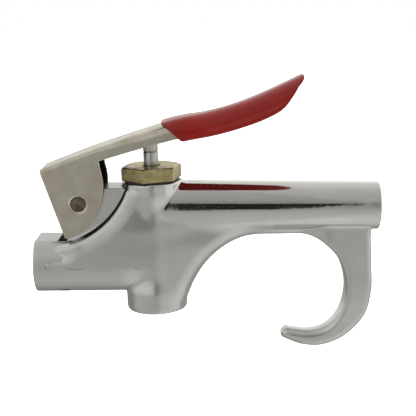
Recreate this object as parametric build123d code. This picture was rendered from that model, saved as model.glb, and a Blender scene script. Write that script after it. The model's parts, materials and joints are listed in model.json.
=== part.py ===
from build123d import *
import os
from math import asin, cos, radians, sin, sqrt

# Lever-type compressed-air blow gun.  Millimetres, +X from the hose port to the nozzle port, +Z up.
# The origin is the centre of the hose port's mouth, and the object is built about the plane Y = 0.

os.makedirs("parts", exist_ok=True)

# ---- casting ----
inlet_radius = 10.0
inlet_length = 36.0
inlet_root_radius = 9.6
inlet_flat_height = 7.7
inlet_flat_length = 11.0
recess_floor = 8.1
hose_drill_radius = 5.55  # tap drill of a 1/4 inch NPT port
hose_drill_depth = 16.0
inlet_passage_radius = 3.5

barrel_radius = 7.55
barrel_root_radius = 8.0
barrel_height = 18.0
barrel_start = 37.0
barrel_end = 107.5
nozzle_drill_radius = 4.25  # tap drill of a 1/8 inch NPT port
nozzle_drill_depth = 13.0
outlet_passage_radius = 3.0

cheek_radius = 9.75
boss_radius = 9.65
boss_bottom = -15.4
boss_top = 26.0
boss_rim_radius = 9.3
boss_rim_height = 3.0
boss_neck_radius = 8.0
boss_edge_round = 1.6

groove_centre = (3.2, 33.6)  # side recesses that the lever's ears swing in
groove_radius = 27.4
shoulder_round = 2.6
cheek_bottom = 1.4
cheek_end = 40.0

lug_half_width = 5.6
lug_top = 24.3
lug_front = 10.3

pocket_front = 7.4
pocket_floor = 6.6
pocket_half_width = 5.4

web_half_width = 7.0
web_edge_round = 3.0
rib_half_width = 2.6
hook_root_half_width = 4.6
hook_tip_half_width = 2.9
hook_bottom = -29.0
hook_edge_round = 1.2

# ---- lever ----
pivot_x = 14.2
pivot_z = 19.65
pin_radius = 2.25
pin_half_length = 7.0
pin_running_clearance = 0.06
pin_edge = 0.3
ear_sink_radius = 3.0
ear_sink_depth = 0.35
lever_half_width = 7.4
lever_bend_radius = 2.0
sheet = 1.2
ear_centre = (5.0, 25.0)
ear_radius = 17.1
ear_rear = (21.9, 28.0)
ear_low = (10.7, 8.95)
ear_tip = (9.95, 8.9)
coat = 1.1
lever_nose = (82.8, 57.15)
grip_nose = (83.7, 57.9)

# ---- valve, on an axis that leans towards the hose port ----
valve_lean = 1.9
valve_foot_x = 37.4
stem_radius = 2.35
stem_top = 40.9
stem_dome = 1.1
stem_shoulder = 22.6
stem_neck_radius = 1.4
stem_end = 4.6
seal_groove_bottom = 23.8
seal_groove_top = 25.5
seal_groove_radius = 1.5
hex_across_flats = 17.0
hex_turn = 16.5
hex_bottom = 26.5
hex_top = 30.8
hex_crown_inset = 0.2
stem_hole_radius = 2.95
guide_radius = 2.4
guide_bottom = 19.8
guide_top = 27.6
cartridge_radius = 6.15
cartridge_bore_radius = 6.2
thread_bottom = 21.4
cage_radius = 4.7
seat_bottom = 11.5
seat_flange_top = 14.3
seat_ring_radius = 3.4
seat_ring_height = 0.4
flow_bore_radius = 2.8
port_radius = 1.5
port_height = 16.9
chamber_radius = 5.0
chamber_floor = -9.0
disc_radius = 4.1
disc_top = 11.05
disc_thickness = 2.0
cup_radius = 4.5
cup_floor = 1.3
cup_rim = 1.1
lock_nut_height = 2.4
lock_nut_across_flats = 5.5
spring_mean_radius = 3.7
spring_wire_radius = 0.4
spring_turns = 6


def upright(x, z):
    """A workplane in the middle plane, seen from -Y, with its origin at (x, z)."""
    return Plane(origin=(x, 0, z), x_dir=(1, 0, 0), z_dir=(0, -1, 0))


def slab(outline, half_width):
    """A prism of an outline drawn in X and Z, as thick on both sides of the middle plane."""
    return extrude(upright(0, 0) * outline, half_width, both=True)


def rod(radius, start, end, height):
    """A cylinder along X at a height above the origin."""
    middle = (start + end) / 2
    return Pos(middle, 0, height) * Rot(0, 90, 0) * Cylinder(radius, end - start)


def tapered_rod(start_radius, end_radius, start, end, height):
    """A bar along X that narrows evenly, as a casting must to leave its die."""
    middle = (start + end) / 2
    return Pos(middle, 0, height) * Rot(0, 90, 0) * Cone(start_radius, end_radius, end - start)


def ring(outer, inner, bottom, top):
    """A tube or washer about the valve's own axis."""
    middle = Pos(0, 0, (bottom + top) / 2)
    return middle * Cylinder(outer, top - bottom) - middle * Cylinder(inner, top - bottom)


def post(radius, bottom, top):
    """A round bar about the valve's own axis."""
    return Pos(0, 0, (bottom + top) / 2) * Cylinder(radius, top - bottom)


def on_valve_axis(shape):
    """Moves a shape drawn about Z onto the leaning axis of the valve."""
    return Pos(valve_foot_x, 0, 0) * Rot(0, -valve_lean, 0) * shape


def outer_edges(solid, half_width):
    """The edges of a slab that lie in its two side faces."""
    front = solid.edges().filter_by_position(Axis.Y, -half_width - 0.01, -half_width + 0.01)
    back = solid.edges().filter_by_position(Axis.Y, half_width - 0.01, half_width + 0.01)
    return front + back


def flank_wedge():
    """The space between the planes that touch the inlet tube and the barrel on both sides."""
    lean = (cheek_radius - barrel_root_radius) / barrel_height
    low = -20.0
    high = 30.0
    low_half = cheek_radius * sqrt(1 + lean * lean) - lean * low
    high_half = cheek_radius * sqrt(1 + lean * lean) - lean * high
    section = Plane.YZ * Polygon(
        (-low_half, low), (low_half, low), (high_half, high), (-high_half, high), align=None
    )
    return extrude(section, 120)


def cheek():
    """The thick middle of the casting, from the ear recesses to the barrel."""
    gx, gz = groove_centre
    top = (gx + sqrt(groove_radius**2 - (gz - lug_top) ** 2), lug_top)
    low = (11.0, gz - sqrt(groove_radius**2 - (11.0 - gx) ** 2))
    middle = (gx + groove_radius * cos(radians(-45)), gz + groove_radius * sin(radians(-45)))
    arc = ThreePointArc(low, middle, top)
    rest = Polyline(top, (cheek_end, lug_top), (cheek_end, cheek_bottom), (14.0, cheek_bottom), low)
    solid = slab(make_face([arc, rest]), 12) & flank_wedge()
    shoulder = [e for e in solid.edges() if e.geom_type != GeomType.LINE]
    return fillet(shoulder, shoulder_round)


def web():
    """The curved web from the valve boss up to the barrel, and the rib that runs on to the hook."""
    under = Spline((46.6, -13.2), (49.8, -5.7), (53.55, 0.1), (59.4, 5.2), (65.3, 7.85), (73.0, 8.95))
    close = Polyline((73.0, 8.95), (73.0, 14.0), (40.0, 14.0), (40.0, -13.2), (46.6, -13.2))
    solid = slab(make_face([under, close]), web_half_width)
    edges = [e for e in outer_edges(solid, web_half_width) if e.geom_type == GeomType.BSPLINE]
    rib = slab(Polygon((60.0, 9.05), (90.0, 9.05), (90.0, 14.0), (60.0, 14.0), align=None), rib_half_width)
    return fillet(edges, web_edge_round) + rib


def hook():
    """The finger hook, which thins towards its round tip."""
    inner = Spline(
        (84.0, 9.05), (90.6, 6.1), (95.2, 1.4), (97.75, -5.6), (97.8, -11.6), (95.7, -17.5), (91.4, -21.6),
        (86.6, -22.9), (80.8, -22.3)
    )
    tip = TangentArc((80.8, -22.3), (79.0, -26.2), tangent=inner % 1)
    outer = Spline(
        (79.0, -26.2), (84.3, -28.0), (90.7, -28.35), (98.3, -25.1), (104.1, -18.2), (106.0, -9.2),
        (105.4, 3.0), tangents=[tip % 1, (-0.05, 1)],
    )
    back = Polyline((105.4, 3.0), (105.2, 14.0), (84.0, 14.0), (84.0, 9.05))
    solid = slab(make_face([inner, tip, outer, back]), hook_root_half_width)
    edges = [e for e in outer_edges(solid, hook_root_half_width) if e.geom_type != GeomType.LINE]
    solid = fillet(edges, hook_edge_round)
    section = Plane.YZ * Polygon(
        (-hook_tip_half_width, hook_bottom),
        (hook_tip_half_width, hook_bottom),
        (hook_root_half_width, 2.0),
        (hook_root_half_width, 20.0),
        (-hook_root_half_width, 20.0),
        (-hook_root_half_width, 2.0),
        align=None,
    )
    return solid & extrude(section, 120)


def lug():
    """The upright lug between the lever's ears, round about the pivot."""
    radius = lug_top - pivot_z
    block = slab(
        Polygon(
            (lug_front, 5.0),
            (34.0, 5.0),
            (34.0, lug_top),
            (pivot_x, lug_top),
            (pivot_x - radius, pivot_z),
            align=None,
        ),
        lug_half_width,
    )
    return block + slab(Pos(pivot_x, pivot_z) * Circle(radius), lug_half_width)


def boss():
    """The valve boss: a round foot, a narrower neck and a flared rim under the nut."""
    profile = Polyline(
        (0, boss_bottom),
        (boss_radius, boss_bottom),
        (boss_radius, -1.0),
        (boss_neck_radius, 14.0),
        (boss_neck_radius, boss_top - 2 * boss_rim_height),
        (boss_rim_radius, boss_top - boss_rim_height / 3),
        (boss_rim_radius, boss_top),
        (0, boss_top),
        (0, boss_bottom),
    )
    solid = revolve(Plane.XZ * make_face(profile), Axis.Z)
    foot = solid.edges().filter_by(GeomType.CIRCLE).sort_by(Axis.Z)[0]
    return on_valve_axis(fillet(foot, boss_edge_round))


def block_above(start, end, width, bottom, height=120):
    """A block between two distances along X that stands on a level."""
    return Pos((start + end) / 2, 0, bottom + height / 2) * Box(end - start, width, height)


def body_casting():
    """The die-cast body with its ports, passages, valve chamber and pivot hole."""
    inlet = tapered_rod(inlet_radius, inlet_root_radius, 0, inlet_length, 0)
    inlet -= block_above(0, inlet_flat_length, 2 * inlet_radius + 2, inlet_flat_height)
    side_recess = slab(Pos(*groove_centre) * Circle(groove_radius), 20)
    side_recess -= block_above(-60, 60, 2 * lug_half_width, -60)
    side_recess &= block_above(-60, 60, 60, recess_floor)
    solid = inlet + cheek() + boss()
    solid -= side_recess
    solid += lug()
    solid += tapered_rod(barrel_root_radius, barrel_radius, barrel_start, barrel_end, barrel_height)
    solid += web()
    solid += hook()
    solid -= block_above(pocket_front, lug_front, 2 * pocket_half_width, pocket_floor, 10)
    solid -= rod(hose_drill_radius, 0, hose_drill_depth, 0)
    solid -= rod(inlet_passage_radius, 0, valve_foot_x, 0)
    solid -= rod(nozzle_drill_radius, barrel_end - nozzle_drill_depth, barrel_end, barrel_height)
    solid -= rod(outlet_passage_radius, valve_foot_x, barrel_end, barrel_height)
    solid -= on_valve_axis(post(cartridge_bore_radius, seat_bottom, boss_top + 1))
    solid -= on_valve_axis(post(chamber_radius, chamber_floor, seat_bottom + 1))
    solid -= Pos(pivot_x, 0, pivot_z) * Rot(90, 0, 0) * Cylinder(pin_radius, 30)
    return solid


def lever_top(drop):
    """The side view of the lever's web, moved down its own normal by a distance."""
    points = [(2.6, 30.3), (15.2, 35.2), (27.4, 39.5), (39.6, 43.5), (46.5, 45.3), (53.5, 46.55)]
    points += [(61.0, 48.55), (68.5, 51.3), (75.5, 54.4), (82.6, 57.8)]
    return [(x + 0.36 * drop, z - 0.93 * drop) for x, z in points]


def flange_edge(drop):
    """The side view of the flanges' lower edge, moved down by a distance."""
    points = [(20.8, 33.0), (30.4, 35.9), (39.6, 38.5), (47.5, 40.4), (56.0, 42.05), (64.0, 44.3)]
    points += [(71.0, 46.9), (75.9, 49.9), (79.0, 53.9), (80.9, 56.2)]
    return [(x, z - drop) for x, z in points]


def lever():
    """The bent steel channel with two ears that straddle the lug."""
    top = Spline(*lever_top(0))
    low = Spline(*flange_edge(0))
    nose = ThreePointArc(top @ 1, lever_nose, low @ 1)
    ex, ez = ear_centre
    ear_middle = (ex + ear_radius * cos(radians(-30)), ez + ear_radius * sin(radians(-30)))
    ear_arc = ThreePointArc(ear_rear, ear_middle, ear_low)
    ears = Polyline(low @ 0, ear_rear)
    front = Polyline(ear_low, ear_tip, top @ 0)
    blank = slab(make_face([top, nose, low, ears, ear_arc, front]), lever_half_width)
    bends = [e for e in outer_edges(blank, lever_half_width) if e.length > top.length - 1]
    blank = fillet(bends, lever_bend_radius)
    under = Spline(*lever_top(sheet))
    hollow = make_face([under, Polyline(under @ 1, (110, 50), (110, 0), (-20, 0), (-20, 22), under @ 0)])
    solid = blank - slab(hollow, lever_half_width - sheet)
    hole_radius = pin_radius + pin_running_clearance
    solid -= Pos(pivot_x, 0, pivot_z) * Rot(90, 0, 0) * Cylinder(hole_radius, 30)
    for side in (-1, 1):
        sink = Rot(90 * side, 0, 0) * Cone(ear_sink_radius, hole_radius, ear_sink_depth)
        solid -= Pos(pivot_x, side * (lever_half_width - ear_sink_depth / 2), pivot_z) * sink
    return solid


def lever_grip(steel):
    """The dipped vinyl coat over the free end of the lever, inside and out."""
    top = Spline(*lever_top(-coat))
    low = Spline(*flange_edge(coat))
    nose = ThreePointArc(top @ 1, grip_nose, low @ 1)
    back = Polyline(low @ 0, top @ 0)
    blank = slab(make_face([top, nose, low, back]), lever_half_width + coat)
    under = Spline(*lever_top(sheet + coat))
    hollow = make_face([under, Polyline(under @ 1, (110, 50), (110, 0), (-20, 0), (-20, 22), under @ 0)])
    front_cut = Polygon(
        (46.0, 38.6), (39.6, 44.4), (38.0, 60.0), (0.0, 60.0), (0.0, 20.0), (46.0, 20.0), align=None
    )
    solid = blank - slab(hollow, lever_half_width - sheet - coat)
    solid -= slab(front_cut, 20)
    return solid - steel


def pivot_pin():
    """The pin pressed into the lug, on which the ears turn."""
    solid = Cylinder(pin_radius, 2 * pin_half_length)
    solid = chamfer(solid.edges().filter_by(GeomType.CIRCLE), pin_edge)
    return Pos(pivot_x, 0, pivot_z) * Rot(90, 0, 0) * solid


def valve_bonnet():
    """The brass cartridge: hexagon, threaded shank, stem guide, flow cage and valve seat."""
    half = hex_across_flats / 2
    crown = half - hex_crown_inset
    outline = Rot(0, 0, hex_turn) * RegularPolygon(half, 6, major_radius=False)
    hexagon = Pos(0, 0, hex_bottom) * extrude(outline, hex_top - hex_bottom)
    hexagon &= Pos(0, 0, hex_top - 10) * Cone(crown + 20 * sqrt(3), crown, 20)
    solid = hexagon + post(cartridge_radius, thread_bottom, hex_bottom)
    solid += post(cage_radius, seat_flange_top, thread_bottom)
    solid += post(cartridge_radius, seat_bottom, seat_flange_top)
    solid += post(seat_ring_radius, seat_bottom - seat_ring_height, seat_bottom)
    solid -= post(flow_bore_radius, seat_bottom - 1, guide_bottom)
    solid -= post(guide_radius, guide_bottom - 1, guide_top)
    solid -= post(stem_hole_radius, guide_top, hex_top + 1)
    solid -= ring(cartridge_radius + 1, cartridge_radius - 1.0, seat_bottom + 0.7, seat_bottom + 2.1)
    for turn in (0, 90):
        solid -= Pos(0, 0, port_height) * Rot(90, 0, turn) * Cylinder(port_radius, 30)
    return on_valve_axis(solid)


def bonnet_gasket():
    """The black sealing washer between the nut and the boss."""
    return on_valve_axis(ring(8.6, cartridge_radius + 0.1, boss_top, hex_bottom))


def cartridge_o_ring():
    """The seal round the seat flange of the cartridge."""
    inner = cartridge_radius - 1.0
    return on_valve_axis(ring(cartridge_bore_radius - 0.01, inner, seat_bottom + 0.8, seat_bottom + 2.0))


def valve_stem():
    """The round stem that the lever pushes, with a seal groove and a thin lower end."""
    dome_radius = (stem_radius**2 + stem_dome**2) / (2 * stem_dome)
    half_angle = asin(stem_radius / dome_radius) / 2
    dome_middle = (dome_radius * sin(half_angle), stem_top - dome_radius * (1 - cos(half_angle)))
    profile = [
        Polyline((0, stem_end), (stem_neck_radius, stem_end), (stem_neck_radius, stem_shoulder)),
        Polyline(
            (stem_neck_radius, stem_shoulder),
            (stem_radius, stem_shoulder),
            (stem_radius, seal_groove_bottom),
            (seal_groove_radius, seal_groove_bottom),
            (seal_groove_radius, seal_groove_top),
            (stem_radius, seal_groove_top),
            (stem_radius, stem_top - stem_dome),
        ),
        ThreePointArc((stem_radius, stem_top - stem_dome), dome_middle, (0, stem_top)),
        Line((0, stem_top), (0, stem_end)),
    ]
    return on_valve_axis(revolve(Plane.XZ * make_face(profile), Axis.Z))


def stem_o_ring():
    """The seal in the stem's groove."""
    outer = guide_radius - 0.02
    return on_valve_axis(ring(outer, seal_groove_radius, seal_groove_bottom + 0.1, seal_groove_top - 0.1))


def valve_disc():
    """The rubber washer that closes on the seat."""
    return on_valve_axis(ring(disc_radius, stem_neck_radius, disc_top - disc_thickness, disc_top))


def disc_cup():
    """The brass cup that backs the rubber disc and takes the spring."""
    bottom = disc_top - disc_thickness - cup_floor
    solid = ring(cup_radius, stem_neck_radius, bottom, bottom + cup_floor + cup_rim)
    return on_valve_axis(solid - post(disc_radius, bottom + cup_floor, bottom + cup_floor + 5))


def disc_lock_nut():
    """The small nut that holds the cup and the disc on the stem."""
    top = disc_top - disc_thickness - cup_floor
    hexagon = extrude(RegularPolygon(lock_nut_across_flats / 2, 6, major_radius=False), lock_nut_height)
    solid = Pos(0, 0, top - lock_nut_height) * hexagon
    return on_valve_axis(solid - post(stem_neck_radius, top - 5, top + 1))


def valve_spring():
    """The compression spring that lifts the cup and the stem."""
    top = disc_top - disc_thickness - cup_floor - spring_wire_radius - 0.05
    low = chamber_floor + spring_wire_radius + 0.05
    path = Pos(0, 0, low) * Helix((top - low) / spring_turns, top - low, spring_mean_radius)
    section = Plane(origin=path @ 0, z_dir=path % 0) * Circle(spring_wire_radius)
    return on_valve_axis(sweep(section, path=path))


casting = body_casting()
steel_lever = lever()
nodes = {
    "body_casting": casting,
    "lever": steel_lever,
    "lever_grip": lever_grip(steel_lever),
    "pivot_pin": pivot_pin(),
    "valve_bonnet": valve_bonnet(),
    "bonnet_gasket": bonnet_gasket(),
    "cartridge_o_ring": cartridge_o_ring(),
    "valve_stem": valve_stem(),
    "stem_o_ring": stem_o_ring(),
    "valve_disc": valve_disc(),
    "disc_cup": disc_cup(),
    "disc_lock_nut": disc_lock_nut(),
    "valve_spring": valve_spring(),
}
for name, shape in nodes.items():
    export_step(shape, f"parts/{name}.step")
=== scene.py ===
"""A lever-type compressed-air blow gun: chromed casting, nickelled lever, dipped grip, brass valve nut.

The casting, the lever, the grip and the nuts are closed surfaces of distance fields, and the other parts are
lathed or swept profiles. Sizes are in millimetres and meshes in metres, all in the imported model's frame.
"""
import json
import math

import bmesh
import bpy
import numpy as np
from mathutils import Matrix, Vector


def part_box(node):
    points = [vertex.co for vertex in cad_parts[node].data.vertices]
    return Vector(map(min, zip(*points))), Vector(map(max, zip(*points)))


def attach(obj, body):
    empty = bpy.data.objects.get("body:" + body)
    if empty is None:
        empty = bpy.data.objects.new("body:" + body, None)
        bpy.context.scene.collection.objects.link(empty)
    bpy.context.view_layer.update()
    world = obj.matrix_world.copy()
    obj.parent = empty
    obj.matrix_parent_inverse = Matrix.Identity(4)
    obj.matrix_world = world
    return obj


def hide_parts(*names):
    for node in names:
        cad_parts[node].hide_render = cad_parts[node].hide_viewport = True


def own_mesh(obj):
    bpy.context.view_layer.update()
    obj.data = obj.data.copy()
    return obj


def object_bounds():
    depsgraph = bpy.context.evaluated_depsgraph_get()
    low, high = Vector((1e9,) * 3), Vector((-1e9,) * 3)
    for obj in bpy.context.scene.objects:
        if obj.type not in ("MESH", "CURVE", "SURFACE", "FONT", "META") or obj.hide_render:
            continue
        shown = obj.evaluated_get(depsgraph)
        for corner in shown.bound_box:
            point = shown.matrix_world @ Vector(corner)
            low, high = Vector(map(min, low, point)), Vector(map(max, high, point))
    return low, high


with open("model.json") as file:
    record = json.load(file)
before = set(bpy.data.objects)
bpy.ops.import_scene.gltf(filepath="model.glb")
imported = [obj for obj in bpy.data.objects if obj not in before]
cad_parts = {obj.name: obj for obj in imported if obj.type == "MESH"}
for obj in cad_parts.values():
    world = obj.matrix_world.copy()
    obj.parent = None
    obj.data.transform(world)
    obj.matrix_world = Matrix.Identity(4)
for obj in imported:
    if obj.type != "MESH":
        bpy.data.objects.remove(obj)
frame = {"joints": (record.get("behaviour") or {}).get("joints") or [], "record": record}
cad_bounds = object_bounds()

MM = 0.001
scene = bpy.context.scene
record = frame["record"]
mounts = {m["name"]: m for m in record["mounts"]}
joints = {j["name"]: j for j in frame["joints"]}


def millimetres(vector):
    """A place in the frame as an array in millimetres."""
    return np.array(vector, float) / MM


# ---------------------------------------------------------------- places and sizes, from the frame

cast_low, cast_high = (millimetres(v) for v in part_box("body_casting"))
barrel_end = cast_high[0]
barrel_height = millimetres(mounts["nozzle_port"]["pos_m"])[2]
hose_drill = mounts["hose_port"]["dims"]["r_mm"]
hose_depth = mounts["hose_port"]["dims"]["length_mm"]
nozzle_drill = mounts["nozzle_port"]["dims"]["r_mm"]
nozzle_depth = mounts["nozzle_port"]["dims"]["length_mm"]
pivot = millimetres(joints["lever_hinge"]["pos_m"])
valve_down = np.array(joints["stem_slide"]["axis"], float)
lean = math.atan2(valve_down[0], -valve_down[2])
lever_low, lever_high = (millimetres(v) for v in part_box("lever"))
lever_half = lever_high[1]
grip_low, grip_high = (millimetres(v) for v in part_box("lever_grip"))

# ---------------------------------------------------------------- chosen sizes, millimetres and radians

# the casting: hose inlet, barrel, recess for the lever's ears, hinge lug, web and hook
INLET_RADIUS = 9.85
INLET_ROOT = 9.45
INLET_LENGTH = 36.0
INLET_FLAT = 7.7
BARREL_RADIUS = 7.55
BARREL_ROOT = 8.0
BARREL_START = 38.0
RECESS_FLOOR = 8.1
GROOVE_CENTRE = (3.2, 33.6)
GROOVE_RADIUS = 27.4
LUG_HALF = 5.6
LUG_TOP = 24.3
POCKET_ENDS = (7.4, 10.3)
POCKET_HALF = 5.4
POCKET_FLOOR = 6.6
WEB_START = 36.0
WEB_TOP = 18.8
WEB_NARROWING = 0.155
HOOK_HALF = 4.7

# the valve boss, its bores and the two threads
BOSS_FOOT = -15.35
BOSS_TOP = 26.0
VALVE_FOOT_X = 37.4
CARTRIDGE_BORE = 6.2
CARTRIDGE_LOW = 11.5
SPRING_BORE = 5.0
SPRING_LOW = -9.0
HOSE_BORE = 3.5
NOZZLE_BORE = 3.0
HOSE_PITCH = 1.41
HOSE_THREAD = 1.05
NOZZLE_PITCH = 0.94
NOZZLE_THREAD = 0.75
THREAD_ROOM = 0.1

# the lever's steel, its dipped coat, its ears and its pin
SHEET = 1.2
COAT = 1.1
LEVER_END = 82.0
GRIP_END = 83.4
EAR_CENTRE = (5.0, 25.0)
EAR_RADIUS = 17.1
PIN_RADIUS = 2.25
PIN_HALF = 7.0
PIN_HOLE = 2.31

# the valve's hexagon, stem, disc, cup and lock nut
HEX_FLATS = 16.8
HEX_TURN = math.radians(16.5)
HEX_LOW = 26.5
HEX_HIGH = 30.8
STEM_RADIUS = 2.35
STEM_HIGH = 40.9
STEM_DOME = 1.1
DISC_TOP = 11.05
CUP_LOW = DISC_TOP - 3.3
NUT_HALF = 1.2


# ---------------------------------------------------------------- distance fields

def smooth_min(a, b, k):
    """The smaller of two distances, with a fillet of about k where they meet."""
    h = np.maximum(k - np.abs(a - b), 0.0) / k
    return np.minimum(a, b) - h * h * h * k / 6.0


def smooth_max(a, b, k):
    """The larger of two distances, with a round of about k where they meet."""
    return -smooth_min(-a, -b, k)


def ramp(t, low, high):
    """0 below low, 1 above high, smooth between them."""
    s = np.clip((t - low) / (high - low), 0.0, 1.0)
    return s * s * s * (s * (6.0 * s - 15.0) + 10.0)


def thick(outline, plane, radius):
    """An outline distance and a side-face distance joined with a round edge."""
    a = outline + radius
    b = plane + radius
    outside = np.hypot(np.maximum(a, 0.0), np.maximum(b, 0.0))
    return outside + np.minimum(np.maximum(a, b), 0.0) - radius


def spline(points, steps):
    """A centripetal Catmull-Rom curve through given points."""
    p = np.array(points, float)
    p = np.vstack([2 * p[0] - p[1], p, 2 * p[-1] - p[-2]])
    out = []
    for a, b, c, d in zip(p, p[1:], p[2:], p[3:]):
        t = np.cumsum([0.0] + [max(np.linalg.norm(v - u), 1e-6) ** 0.5 for u, v in ((a, b), (b, c), (c, d))])
        for s in np.linspace(t[1], t[2], steps, endpoint=False):
            a1 = (t[1] - s) / (t[1] - t[0]) * a + (s - t[0]) / (t[1] - t[0]) * b
            a2 = (t[2] - s) / (t[2] - t[1]) * b + (s - t[1]) / (t[2] - t[1]) * c
            a3 = (t[3] - s) / (t[3] - t[2]) * c + (s - t[2]) / (t[3] - t[2]) * d
            b1 = (t[2] - s) / (t[2] - t[0]) * a1 + (s - t[0]) / (t[2] - t[0]) * a2
            b2 = (t[3] - s) / (t[3] - t[1]) * a2 + (s - t[1]) / (t[3] - t[1]) * a3
            out.append((t[2] - s) / (t[2] - t[1]) * b1 + (s - t[1]) / (t[2] - t[1]) * b2)
    out.append(p[-2])
    return [tuple(v) for v in out]


def arc(centre, radius, start, end, steps):
    """Points on a circle, from one angle to another in degrees."""
    return [
        (centre[0] + radius * math.cos(t), centre[1] + radius * math.sin(t))
        for t in np.radians(np.linspace(start, end, steps))
    ]


def polygon(points, x, z):
    """The signed distance to a closed outline in X and Z, negative inside it."""
    best = np.full(np.broadcast(x, z).shape, 1e9)
    inside = np.zeros(best.shape, bool)
    for (ax, az), (bx, bz) in zip(points, points[1:] + points[:1]):
        ex, ez = bx - ax, bz - az
        wx, wz = x - ax, z - az
        length = ex * ex + ez * ez
        if length < 1e-12:
            continue
        t = np.clip((wx * ex + wz * ez) / length, 0.0, 1.0)
        best = np.minimum(best, (wx - ex * t) ** 2 + (wz - ez * t) ** 2)
        crosses = (az > z) != (bz > z)
        if ez != 0.0:
            inside ^= crosses & (x < ax + ex * (z - az) / ez)
    return np.where(inside, -1.0, 1.0) * np.sqrt(best)


def rod(y, z, radius, height):
    """A bar along X at a height."""
    return np.hypot(y, z - height) - radius


def valve_place(x, z):
    """Distance across and height along the valve's leaning axis, in the middle plane."""
    across = (x - VALVE_FOOT_X) * math.cos(lean) + z * math.sin(lean)
    along = -(x - VALVE_FOOT_X) * math.sin(lean) + z * math.cos(lean)
    return across, along


# the arch under the barrel, the inside of the hook, its tip and its outside, in X and Z
PLATE_EDGE = (
    spline(
        [(46.0, -14.6), (46.9, -12.5), (47.9, -10.25), (49.8, -5.7), (53.55, 0.1), (59.4, 5.2), (65.3, 7.85),
         (71.15, 8.85), (77.0, 9.05), (84.0, 9.1), (87.8, 8.05), (91.2, 5.8), (95.2, 1.4), (97.75, -5.6),
         (97.8, -11.6), (95.7, -17.5), (91.4, -21.6), (86.6, -22.9), (82.0, -22.5)], 6
    )
    + arc((79.7, -24.15), 2.1, 62, 225, 9)
    + spline(
        [(81.3, -27.0), (84.3, -28.0), (90.7, -28.3), (98.3, -25.1), (104.1, -18.2), (106.0, -9.2),
         (105.75, -1.0), (105.2, 8.0)], 6
    )
    + [(105.2, 12.0), (95.0, 16.0), (60.0, 30.0), (24.0, 30.0), (24.0, 2.0), (33.0, -4.0), (33.0, -14.6)]
)


def taper(start, end, x, length):
    """A radius that shrinks evenly along X, as a casting's does."""
    return start + (end - start) * np.clip(x / length, 0.0, 1.0)


def from_groove(x, z):
    """The distance in the middle plane from the centre of the recess's curved edge."""
    return np.hypot(x - GROOVE_CENTRE[0], z - GROOVE_CENTRE[1])


def flank_half(x, z):
    """Half the thickness of the casting between its round parts: flank, web and hook."""
    flank = taper(INLET_RADIUS, INLET_ROOT, x, INLET_LENGTH)
    flank = flank - 0.2 * ramp(z, 0.0, 12.0) - 1.0 * ramp(z, 10.0, 19.0)
    flank = flank - 1.7 * ramp(-x, -15.0, -4.0) * ramp(z, 0.0, 5.0)

    # it falls away over the last 5 mm before the recess for the lever's ears
    near = np.maximum(5.0 + GROOVE_RADIUS - from_groove(x, z), 0.0)
    flank = flank - (0.04 + 0.02 * near) * near * ramp(x, 9.0, 17.0)

    # past the boss it narrows at a steady rate, after a soft start, and by 1 mm more just below the barrel
    past = 0.5 * (x - WEB_START + np.sqrt((x - WEB_START) ** 2 + 60.0)) - 1.5
    high = ramp(z, 5.0, 12.5)
    web = flank - WEB_NARROWING * past * (1 - 0.15 * high) - 1.0 * high * ramp(x, 33.0, 52.0)

    # the hook is fullest a little below the web and thins towards its tip
    root = 3.0 + 1.7 * ramp(x, 81.0, 94.0)
    hook = root + (HOOK_HALF - root) * ramp(-z, -7.0, 3.0) - 1.8 * ramp(-z, 4.0, 27.0)
    return web + (hook - web) * ramp(x, 62.0, 80.0)


def boss_radius(along):
    """The valve boss: straight at its foot, waisted in the middle and flared below the nut."""
    waist = 9.65 - 1.0 * ramp(along, -10.0, -3.0) - 0.35 * ramp(along, -1.0, 12.0)
    return waist + 1.05 * ramp(along, 16.5, 23.0)


def hollow_field(x, y, z, width, along):
    """The passages inside: two ports with their bores, the cartridge's seat and the spring's well."""
    hose = np.maximum(rod(y, z, hose_drill + HOSE_THREAD + THREAD_ROOM, 0.0), x - hose_depth)
    hose = np.minimum(hose, np.maximum(rod(y, z, HOSE_BORE, 0.0), x - VALVE_FOOT_X))
    nozzle_radius = nozzle_drill + NOZZLE_THREAD + THREAD_ROOM
    nozzle = np.maximum(rod(y, z, nozzle_radius, barrel_height), barrel_end - nozzle_depth - x)
    nozzle = np.minimum(nozzle, np.maximum(rod(y, z, NOZZLE_BORE, barrel_height), VALVE_FOOT_X - x))
    chamber = np.maximum(width - CARTRIDGE_BORE, CARTRIDGE_LOW - along)
    chamber = np.minimum(chamber, np.maximum(width - SPRING_BORE, SPRING_LOW - along))
    return np.minimum(np.minimum(hose, nozzle), chamber)


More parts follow.
